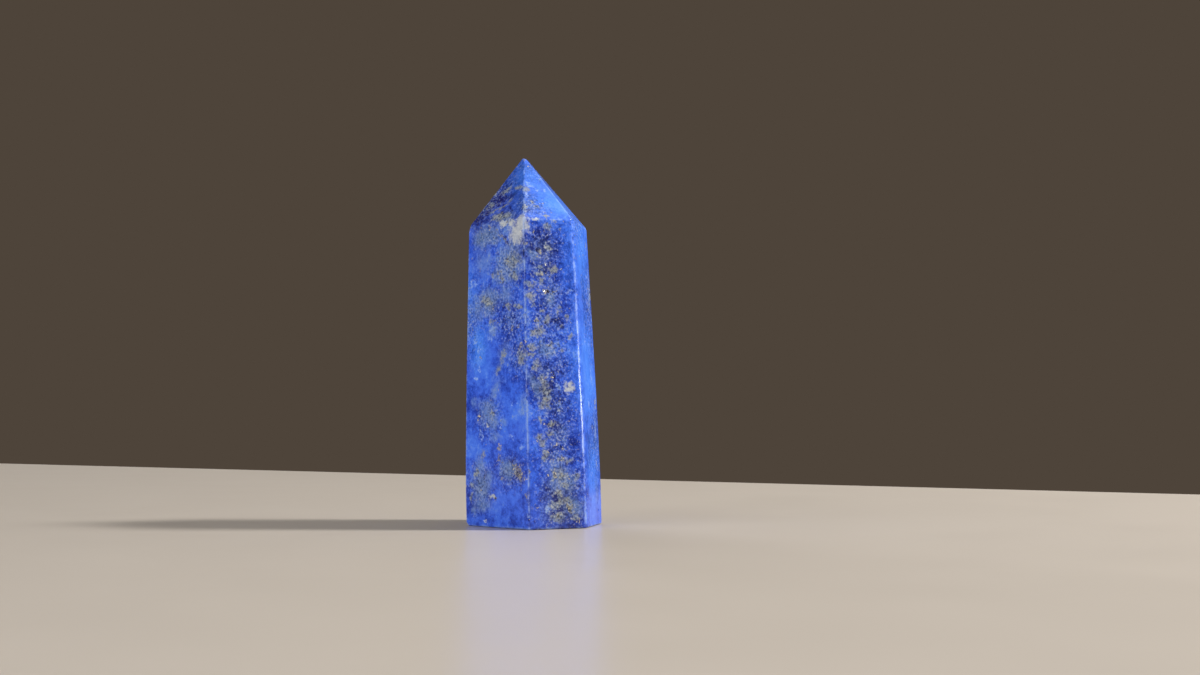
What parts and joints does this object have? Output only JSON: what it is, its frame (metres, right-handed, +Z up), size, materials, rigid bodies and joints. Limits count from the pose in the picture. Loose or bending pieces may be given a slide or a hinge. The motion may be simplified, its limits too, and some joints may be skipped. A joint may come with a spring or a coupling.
{
  "type": "polished lapis lazuli tower",
  "caption": "Free-standing polished lapis lazuli tower: a tapering six-sided stone with a faceted point and a flat sawn base.",
  "frame": {"origin": "centre of the flat base, on the surface that the tower stands on", "axes": "+Z up towards the point; -Y towards the front arris between the wide left side and the narrower right side"},
  "size_m": [0.0275, 0.0286, 0.075],
  "materials": {
    "lapis_lazuli": "polished"
  },
  "bodies": {
    "root": {"tower": "lapis_lazuli"}
  },
  "joints": []
}
